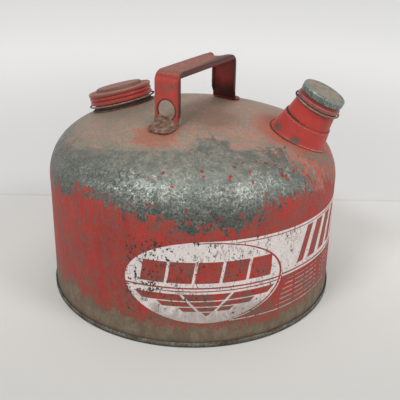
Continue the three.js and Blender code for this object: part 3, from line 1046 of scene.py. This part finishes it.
def handle_finish():
    g = Graph("handle_paint")
    offset = g.mm - (*HANDLE_AT, 0)
    along, left = offset.dot(tuple(ALONG)), offset.dot(tuple(LEFT))
    s, b = abs(along), abs(left)
    z = g.mm.parts()[2]
    blotch = g.noise(9, 5, 0.62, 1.5, 5)
    grit = g.noise(1.7, 4, 0.65, 1.2, 6)
    colour = red_paint(g, 15.0, (198, 70, 61), (164, 58, 51))

    worn = g.noise(10, 5, 0.66, seed=8).ramp(0.48, 0.6)
    bend_wear = (z + blotch * 14).ramp(HANDLE_TOP - 22, HANDLE_TOP - 4, 0.4, 0.8)

    # the grip's back turns dark brown, most along its right side and over the far bend
    top = z.ramp(HANDLE_TOP - 6.0, HANDLE_TOP - 0.8)
    reach = left - along.ramp(-45, 45) * 6.0 + blotch * 5.0
    far_end = (along + blotch * 8).ramp(45, 50)
    rubbed = g.most(reach.fall(-9.6, -8.4), far_end)

    # the flanges' sides are dark with worn edges and painted shade; painted shade darkens the inside of the
    # channel, its inner corners and the legs' inner faces low down
    # the flanges' outer sides: worn dark edges together with painted shade
    flange = b.ramp(HALF_W - 0.5, HALF_W - 0.15)
    in_leg = s.fall(HALF_L - 1.5, HALF_L - 1.1)
    in_grip = z.fall(HANDLE_TOP - 3.4, HANDLE_TOP - 2.6)
    # painted shade on the channel's inside face
    inside = in_leg * in_grip * b.fall(12.2, 12.5)
    # painted shade, near black, on the legs' inner faces low down
    low_leg_shade = in_leg * (z - blotch * 22).fall(178, 192)
    lip_z = z.fall(HANDLE_TOP - GRIP_FLANGE + 0.4, HANDLE_TOP - GRIP_FLANGE + 1.2)
    lip_s = s.fall(HALF_L - LEG_FLANGE + 0.4, HALF_L - LEG_FLANGE + 1.2)
    corner = b.ramp(HALF_W - 1.5, HALF_W - 0.6) * grit.ramp(0.3, 0.5) * 0.6
    hole = z - LEG_HOLE_Z
    hole = (hole * hole + b * b).root()
    near_side = along.fall(-1, 1)
    worn_hole = near_side * (hole - grit * 2.4).fall(9.2, 9.9)

    chips = (grit * 0.55 + blotch * 0.45).ramp(0.6, 0.625)
    outside = s.ramp(HALF_L - 0.9, HALF_L - 0.4)
    # painted shade, near black, where the far leg meets the dome
    root = (z - blotch * 9).fall(170, 174) * (1 - near_side)
    foot = outside * (z - blotch * 14 - grit * 5).fall(170, 175)
    rust = g.blend(grit.ramp(0.35, 0.65), (84, 60, 46), (146, 116, 98))
    colour = colour.coats(
        (worn * bend_wear, 126, 84, 71),
        (top * blotch.ramp(0.34, 0.58, 0.4, 1.0), 124, 82, 69),
        (top * grit.ramp(0.5, 0.62) * 0.6, 168, 112, 98),
        (rubbed * top * 0.9, 82, 60, 51),
        (flange * 0.7, 104, 46, 40),
        (inside * 0.7, 134, 48, 43),
        (low_leg_shade * 0.85, 38, 22, 20),
        # painted shade in the channel's inner corners under the flanges' lips
        (b.ramp(11.4, 12.2) * lip_z * lip_s * 0.85, 62, 38, 34),
        (corner, 76, 40, 36),
        (worn_hole * 0.8, 66, 40, 35),
        (chips * 0.85, 70, 56, 50),
        (root * 0.9, 40, 24, 21),
        (foot, rust))
    colour = colour * g.noise(0.9, 2).ramp(0.3, 0.7, 0.9, 1.08)
    relief = foot * grit * 2.0 + blotch * 0.5 + grit * 0.4 - chips * 0.8
    rough = 0.42 + top * 0.1 + foot * 0.28 + chips * 0.1
    return g.finish(colour, rough, chips * 0.3, g.bump(relief, 0.5, 0.3), 0.35)


def solder_finish():
    g = Graph("solder")
    lumps = g.noise(3.6, 4, 0.6, (1.6, 1, 1))
    grit = g.noise(1.0, 3, 0.6, seed=4)
    colour = g.blend(lumps.ramp(0.34, 0.64), (96, 72, 59), (136, 112, 94))
    rusty = g.noise(6, 4, 0.6, seed=9).ramp(0.5, 0.66) * 0.65
    colour = colour.coats(
        (rusty, 142, 78, 58),
        (lumps.ramp(0.56, 0.66) * 0.6, 168, 144, 126))
    colour = colour * grit.ramp(0.3, 0.7, 0.86, 1.08)
    relief = lumps + grit * 0.3
    return g.finish(colour, 0.55 + lumps * 0.3, 0.15, g.bump(relief, 0.5, 0.35), 0.3)


def painted_bead_finish():
    """The solder round the spout, painted over with the tank and rubbed along its crest."""
    g = Graph("painted_bead")
    blotch = g.noise(5, 4, 0.62, seed=33)
    grit = g.noise(1.3, 3, 0.6, seed=34)
    right, _ = print_axes(g)
    colour = g.blend(blotch.ramp(0.38, 0.6), (140, 62, 50), (184, 96, 78))
    crest = right.ramp(96, 106) * grit.ramp(0.42, 0.56) * 0.7
    dark = right.ramp(84, 100, 1.0, 0.1) * blotch.ramp(0.36, 0.5)
    colour = colour.coats(
        (crest, 204, 160, 142),
        (dark * 0.8, 64, 50, 42))
    relief = g.bump(blotch + grit, 0.5, 0.25)
    return g.finish(colour, 0.45 + blotch * 0.2, 0.0, relief, 0.35)


def collar_finish():
    """The filler's neck: stained, with painted shade low down under the cap, bare on its thread."""
    g = Graph("neck_zinc")
    h, _ = place_coordinates(g, FILLER)
    bare, spangle, _ = zinc(g, (160, 160, 150), (106, 106, 98))
    stain = g.noise(8, 5, 0.6, seed=2)
    colour = bare.tint(stain.ramp(0.5, 0.68), 150, 82, 66)
    rust = g.noise(2.4, 4, 0.65, seed=5).ramp(0.52, 0.66)
    # painted shade on the neck under the wire ring and the cap's lip
    low = (h + stain * 2).fall(3.4, 4.6)
    neck_shade = g.blend(stain.ramp(0.4, 0.6), (50, 34, 30), (96, 52, 44))
    colour = colour.coats(
        (rust * 0.6, 88, 76, 64),
        (low * 0.9, neck_shade))
    relief = spangle + stain
    return g.finish(colour, 0.38 + stain * 0.25 + low * 0.2, (1 - low) * 0.6, g.bump(relief, 0.4, 0.25),
                    0.3)


def wire_finish(name, place):
    """Rusty wire, near black, with a painted highlight along its side towards the camera."""
    g = Graph(name)
    rust = g.noise(2.6, 4, 0.65)
    t = radians(VIEW_TURN)
    front = (g.mm - tuple(place.translation)).dot((sin(t), -cos(t), 0))
    colour = g.blend(rust.ramp(0.42, 0.66), (40, 34, 31), (84, 60, 48))
    # painted highlight: pale along the side that faces the camera, broken by the rust
    rubbed = front.ramp(6, 12) * rust.ramp(0.36, 0.52, 1.0, 0.55)
    colour = colour.tint(rubbed * 0.9, 164, 146, 134)
    return g.finish(colour, 0.45 + rust * 0.3, 0.3, g.bump(rust, 0.6, 0.2), 0.3)


def cork_finish():
    g = Graph("cork")
    grain = g.cells(1.8, seed=3).parts()[0]
    crumbs = g.noise(0.9, 4, 0.7)
    colour = g.blend(grain * 0.6 + crumbs * 0.4, (104, 74, 48), (164, 126, 86))
    return g.finish(colour, 0.8 + crumbs * 0.15, 0.0, g.bump(grain + crumbs, 0.6, 0.2), 0.3)


def tin_finish():
    g = Graph("tin")
    haze = g.noise(6, 4, 0.6)
    scuffs = g.noise(1.1, 3, 0.6, (1, 6, 1), 3)
    colour = g.blend(haze, (150, 148, 140), (188, 186, 178))
    rust = g.noise(4, 5, 0.7, seed=8).ramp(0.56, 0.7)
    colour = colour.tint(rust * 0.7, 112, 82, 60)
    return g.finish(colour, 0.28 + haze * 0.25, 0.8, g.bump(scuffs, 0.25, 0.1))


def filler_cap_finish():
    g = Graph("filler_cap_paint")
    h, r = place_coordinates(g, FILLER)
    blotch = g.noise(7, 5, 0.62, seed=3)
    grit = g.noise(1.5, 4, 0.65, seed=7)
    streak = g.noise(4, 4, 0.62, (3.5, 1, 1), 12)
    red = red_paint(g, 22.0, (184, 62, 53), (146, 54, 47))
    faded = g.blend(streak.ramp(0.38, 0.62), (122, 92, 78), (160, 108, 94))
    faded = faded.coats(
        (blotch.ramp(0.5, 0.62) * 0.7, 160, 72, 58),
        (grit.ramp(0.54, 0.64) * 0.45, 112, 104, 92))
    top = h.ramp(16.7, 17.0)
    band = h.ramp(13.6, 14.2) * (1 - top)
    colour = red.tint(band * blotch.ramp(0.36, 0.56, 0.45, 0.9), 140, 88, 76)
    # painted highlight along the rim's top edge, broken by grit
    edge = h.band(16.3, 17.2, 0.3) * r.ramp(31.2, 31.8)
    # the grooves keep darker red paint, deepened with painted shade in the recess
    groove = g.most(h.band(8.8, 9.7, 0.35), h.band(12.6, 13.5, 0.35))
    step = r.band(22.9, 24.6, 0.4) * h.ramp(16.9, 17.1)
    lip = (h + grit * 1.2).fall(6.1, 6.6)
    rub = h.band(10.1, 12.1, 0.5) * grit.ramp(0.55, 0.64)
    inner = r.fall(30.3, 30.7) * h.fall(16.5, 16.7)
    dirt = (grit * 0.5 + blotch * 0.5).ramp(0.575, 0.63)
    colour = colour.coats(
        (top, faded),
        (edge * grit.ramp(0.4, 0.55) * 0.7, 170, 128, 114),
        (groove * (1 - top) * 0.6, 84, 38, 33),
        (step * 0.55, 84, 60, 50),
        (lip * 0.6, 96, 60, 52),
        (rub * 0.6, 138, 112, 100),
        (inner, 118, 108, 96),
        (dirt * 0.65, 78, 60, 52))
    rough = 0.42 + top * 0.16 + dirt * 0.12
    relief = blotch * 0.6 + grit * 0.5 - dirt * 0.6
    return g.finish(colour, rough, inner * 0.5, g.bump(relief, 0.5, 0.3), 0.35)


# Where the spout's paint has broken away at its foot: place and reach, in millimetres.
SPOUT_CHIPS = [((86.0, -14.8, 173.6), 4.2), ((104.0, -26.6, 165.4), 5.0), ((128, 18, 166), 5.0)]


def spout_finish():
    g = Graph("spout_paint")
    h, r = place_coordinates(g, SPOUT)
    blotch = g.noise(8, 5, 0.62, seed=13)
    grit = g.noise(1.5, 4, 0.65, seed=17)
    right, _ = print_axes(g)
    red = red_paint(g, 31.0, (192, 62, 53), (166, 58, 50))
    on_left = (right + blotch * 12).ramp(100, 116, 1.0, 0.15)
    # painted shade in the open lap on the left, where the throat meets the cone's top edge
    lap = h.band(CONE_TOP_H - 0.5, CONE_TOP_H + 0.9, 0.4) * on_left
    colour = red.tint(lap * blotch.ramp(0.3, 0.5) * 0.85, 56, 46, 42)
    # painted highlight along the cone's top edge, just below the lap
    lit = h.band(CONE_TOP_H - 2.0, CONE_TOP_H - 1.0, 0.4) * grit.ramp(0.42, 0.56)
    chips = (grit * 0.45 + blotch * 0.55).ramp(0.62, 0.645)
    for place, reach in SPOUT_CHIPS:
        near = g.mm.distance(place) - blotch * 26 - grit * 18 + 22.0
        chips = g.most(chips, near.fall(reach - 0.8, reach + 0.2))
    thread = (h + grit * 1.5).ramp(32.6, 33.4)
    bare = g.blend(grit.ramp(0.4, 0.6), (110, 104, 94), (156, 150, 138))
    inner = r.fall(SPOUT_BORE_R + 0.3, SPOUT_BORE_R + 0.6) * h.ramp(29, 31)
    colour = colour.coats(
        (lit * 0.5, 176, 132, 118),
        (chips * 0.9, 88, 84, 74),
        (thread * 0.85, bare),
        (inner, 120, 112, 100))
    colour = colour * grit.ramp(0.3, 0.7, 0.92, 1.07)
    relief = blotch * 0.5 + grit * 0.3 - chips * 0.7
    return g.finish(colour, 0.38 + chips * 0.15 + blotch * 0.12, thread * 0.6, g.bump(relief, 0.5, 0.3),
                    0.35)


def spout_cap_finish():
    g = Graph("spout_cap_paint")
    h, r = place_coordinates(g, SPOUT)
    blotch = g.noise(6, 5, 0.62, seed=23)
    grit = g.noise(1.3, 4, 0.65, seed=27)
    bare, spangle, _ = zinc(g, (120, 130, 122), (82, 92, 88))
    red = red_paint(g, 41.0, (158, 58, 50), (122, 48, 42))
    skirt = (h + blotch * 1.6 + grit * 0.8).fall(42.2, 42.9)
    colour = g.mix(skirt, bare, red)
    rim = h.band(46.6, 47.9, 0.4) * grit.ramp(0.4, 0.54) * r.ramp(19.4, 19.9)
    lip = h.band(35.2, 38.4, 0.4) * blotch.ramp(0.36, 0.56, 0.25, 1.0)
    # the groove keeps darker red paint, deepened with painted shade in the recess
    groove = h.band(38.8, 41.2, 0.4)
    panel = h.ramp(47.4, 47.65) * r.fall(17.6, 19.4)
    dusty = g.blend(blotch.ramp(0.36, 0.64), (116, 120, 106), (160, 140, 126))
    dirt = (grit * 0.6 + blotch * 0.4).ramp(0.56, 0.63)
    colour = colour.coats(
        (rim * 0.6, 164, 170, 160),
        (lip * 0.7, 150, 104, 94),
        (groove * 0.45, 96, 34, 30),
        (panel, dusty),
        (dirt * 0.6, 78, 74, 66))
    metal = (1 - skirt) * (1 - panel * 0.7) * 0.35
    relief = spangle + grit * 0.6 + blotch * 0.5
    rough = 0.4 + dirt * 0.15 + panel * 0.14
    return g.finish(colour, rough, metal, g.bump(relief, 0.45, 0.25), 0.35)


# ---------------------------------------------------------------- assembly
def dress(obj, material, body, slot, *nodes):
    obj.data.materials.clear()
    obj.data.materials.append(material)
    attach(obj, body)
    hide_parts(*nodes)


def refinish(node, material):
    """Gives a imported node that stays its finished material."""
    for holder in scene.objects[node].material_slots:
        holder.material = material


solder, spout_paint = solder_finish(), spout_finish()
cork, tin = cork_finish(), tin_finish()

dress(tank_shell(), tank_finish(), "tank", "tank_paint", "body_shell")
dress(tank_floor(), base_finish(), "tank", "tank_base", "bottom_pan")
dress(handle(), handle_finish(), "tank", "handle_paint", "handle_strap")
dress(foot_bead("near_foot_bead", -1), solder, "tank", "solder", "front_foot_solder")
dress(foot_bead("far_foot_bead", 1), solder, "tank", "solder", "rear_foot_solder")
dress(filler_neck(), collar_finish(), "tank", "neck_zinc", "filler_neck")
dress(solder_ring("filler_bead", FILLER, lambda h: FILLER_NECK_R + COLLAR_W, GAP, 1.0),
      solder, "tank", "solder", "filler_neck_solder")
dress(wire_ring("filler_wire", 33.4, 4.0, FILLER), wire_finish("filler_wire_metal", FILLER),
      "tank", "wire", "filler_wire_ring")
dress(spout_cone(), spout_paint, "tank", "spout_paint", "spout_base")
dress(solder_ring("spout_bead", SPOUT, cone_radius, GAP, 6.0), painted_bead_finish(),
      "tank", "solder", "spout_base_solder")
dress(spout_throat(), spout_paint, "tank", "spout_paint", "spout_throat")
dress(wire_ring("spout_wire", 22.1, 33.6, SPOUT), wire_finish("spout_wire_metal", SPOUT),
      "tank", "wire", "spout_wire_ring")
dress(filler_cap(), filler_cap_finish(), "filler_cap", "filler_cap_paint", "filler_cap_shell")
dress(spout_cap(), spout_cap_finish(), "spout_cap", "spout_cap_paint", "spout_cap_shell")
for cap in ("filler", "spout"):
    refinish(f"{cap}_cap_gasket", cork)
    refinish(f"{cap}_cap_liner", tin)


# ---------------------------------------------------------------- floor, light and camera
def view_point(right, away, up):
    """A point given across, away from and above the camera's ground line through the can."""
    t = radians(VIEW_TURN)
    return (right * cos(t) - away * sin(t), right * sin(t) + away * cos(t), up)


SEAM_AWAY, BACKDROP_GLOW = 188.0, 0.29
STAGE_Z, STAGE_FLAT_R, STAGE_CURVE_R, STAGE_TOP_Z = -0.3, 3200.0, 1800.0, 3400.0


def backdrop_finish():
    """Pale paper with painted light: darker towards the camera, brighter beyond the faint line where the
    table ends, and softly lit from within far off.
    """
    g = Graph("floor_paper")
    t = radians(VIEW_TURN)
    away = g.mm.dot((-sin(t), cos(t), 0))
    beyond = away.ramp(SEAM_AWAY - 1.5, SEAM_AWAY + 1.5)
    # painted light: the floor darkens towards the camera, and beyond the line it is painted as bright as a
    # lit wall
    near = g.blend(away.ramp(-260, 60), (199, 199, 195), (226, 225, 221))
    tone = near.tint(beyond, 224, 223, 222)
    from_can = g.mm.length()
    glow = from_can.ramp(240, 1250, 0.12, 1.25) * from_can.ramp(2400, 3600, 1.0, 0.95)
    g.put(g.shader.inputs["Emission Strength"], glow * BACKDROP_GLOW)
    g.shader.inputs["Emission Color"].default_value = 1, 1, 1, 1
    line = away.band(SEAM_AWAY - 2.5, SEAM_AWAY + 0.5, 2.0)
    tone = tone.tint(line * 0.22, 176, 174, 170)
    return g.finish(tone, 0.85, 0.0, g.bump(g.noise(3, 2), 0.05, 0.1), 0.1)


def stage_bowl(material):
    """A floor that curves up into a low wall all round, far behind anything the camera frames."""
    profile = [(r, STAGE_Z) for r in (0, 400, 1200, STAGE_FLAT_R)]
    for i in range(1, 17):
        a = pi / 2 * i / 16
        profile.append((STAGE_FLAT_R + STAGE_CURVE_R * sin(a), STAGE_CURVE_R * (1 - cos(a)) + STAGE_Z))
    profile.append((STAGE_FLAT_R + STAGE_CURVE_R, STAGE_TOP_Z))
    bowl = revolve("floor", profile, 96)
    bowl.data.materials.append(material)


def area_light(name, at, target, size, power):
    data = bpy.data.lights.new(name, "AREA")
    data.shape, data.size, data.size_y = "RECTANGLE", size[0] * MM, size[1] * MM
    data.energy = power
    obj = bpy.data.objects.new(name, data)
    obj.location = Vector(at) * MM
    obj.rotation_mode = "QUATERNION"
    obj.rotation_quaternion = (Vector(target) - Vector(at)).to_track_quat("-Z", "Y")
    scene.collection.objects.link(obj)


stage_bowl(backdrop_finish())

area_light("softbox_left", view_point(-520, -800, 1300), AIM, (420, 320), 8)
area_light("softbox_right", view_point(880, -690, 1150), AIM, (420, 320), 6.4)
area_light("overhead", view_point(0, 0, 1900), (0, 0, 0), (1800, 1600), 9)

world = bpy.data.worlds.new("studio")
world.use_nodes = True
world.node_tree.nodes["Background"].inputs["Color"].default_value = (1, 1, 1, 1)
world.node_tree.nodes["Background"].inputs["Strength"].default_value = 0.2
scene.world = world
scene.view_settings.view_transform = "Standard"

lens = bpy.data.cameras.new("camera")
lens.lens, lens.sensor_width = CAMERA_LENS, 36
lens.clip_start, lens.clip_end = 0.01, 20
camera = bpy.data.objects.new("camera", lens)
scene.collection.objects.link(camera)
tilt = radians(CAMERA_ELEVATION)
stand = Vector(view_point(0, -CAMERA_DISTANCE * cos(tilt), CAMERA_DISTANCE * sin(tilt)))
look = (-stand).to_track_quat("-Z", "Y").to_matrix().to_4x4()
camera.matrix_world = (Matrix.Translation((Vector(AIM) + stand) * MM) @ look
                       @ Matrix.Rotation(radians(CAMERA_ROLL), 4, "Z"))
scene.camera = camera
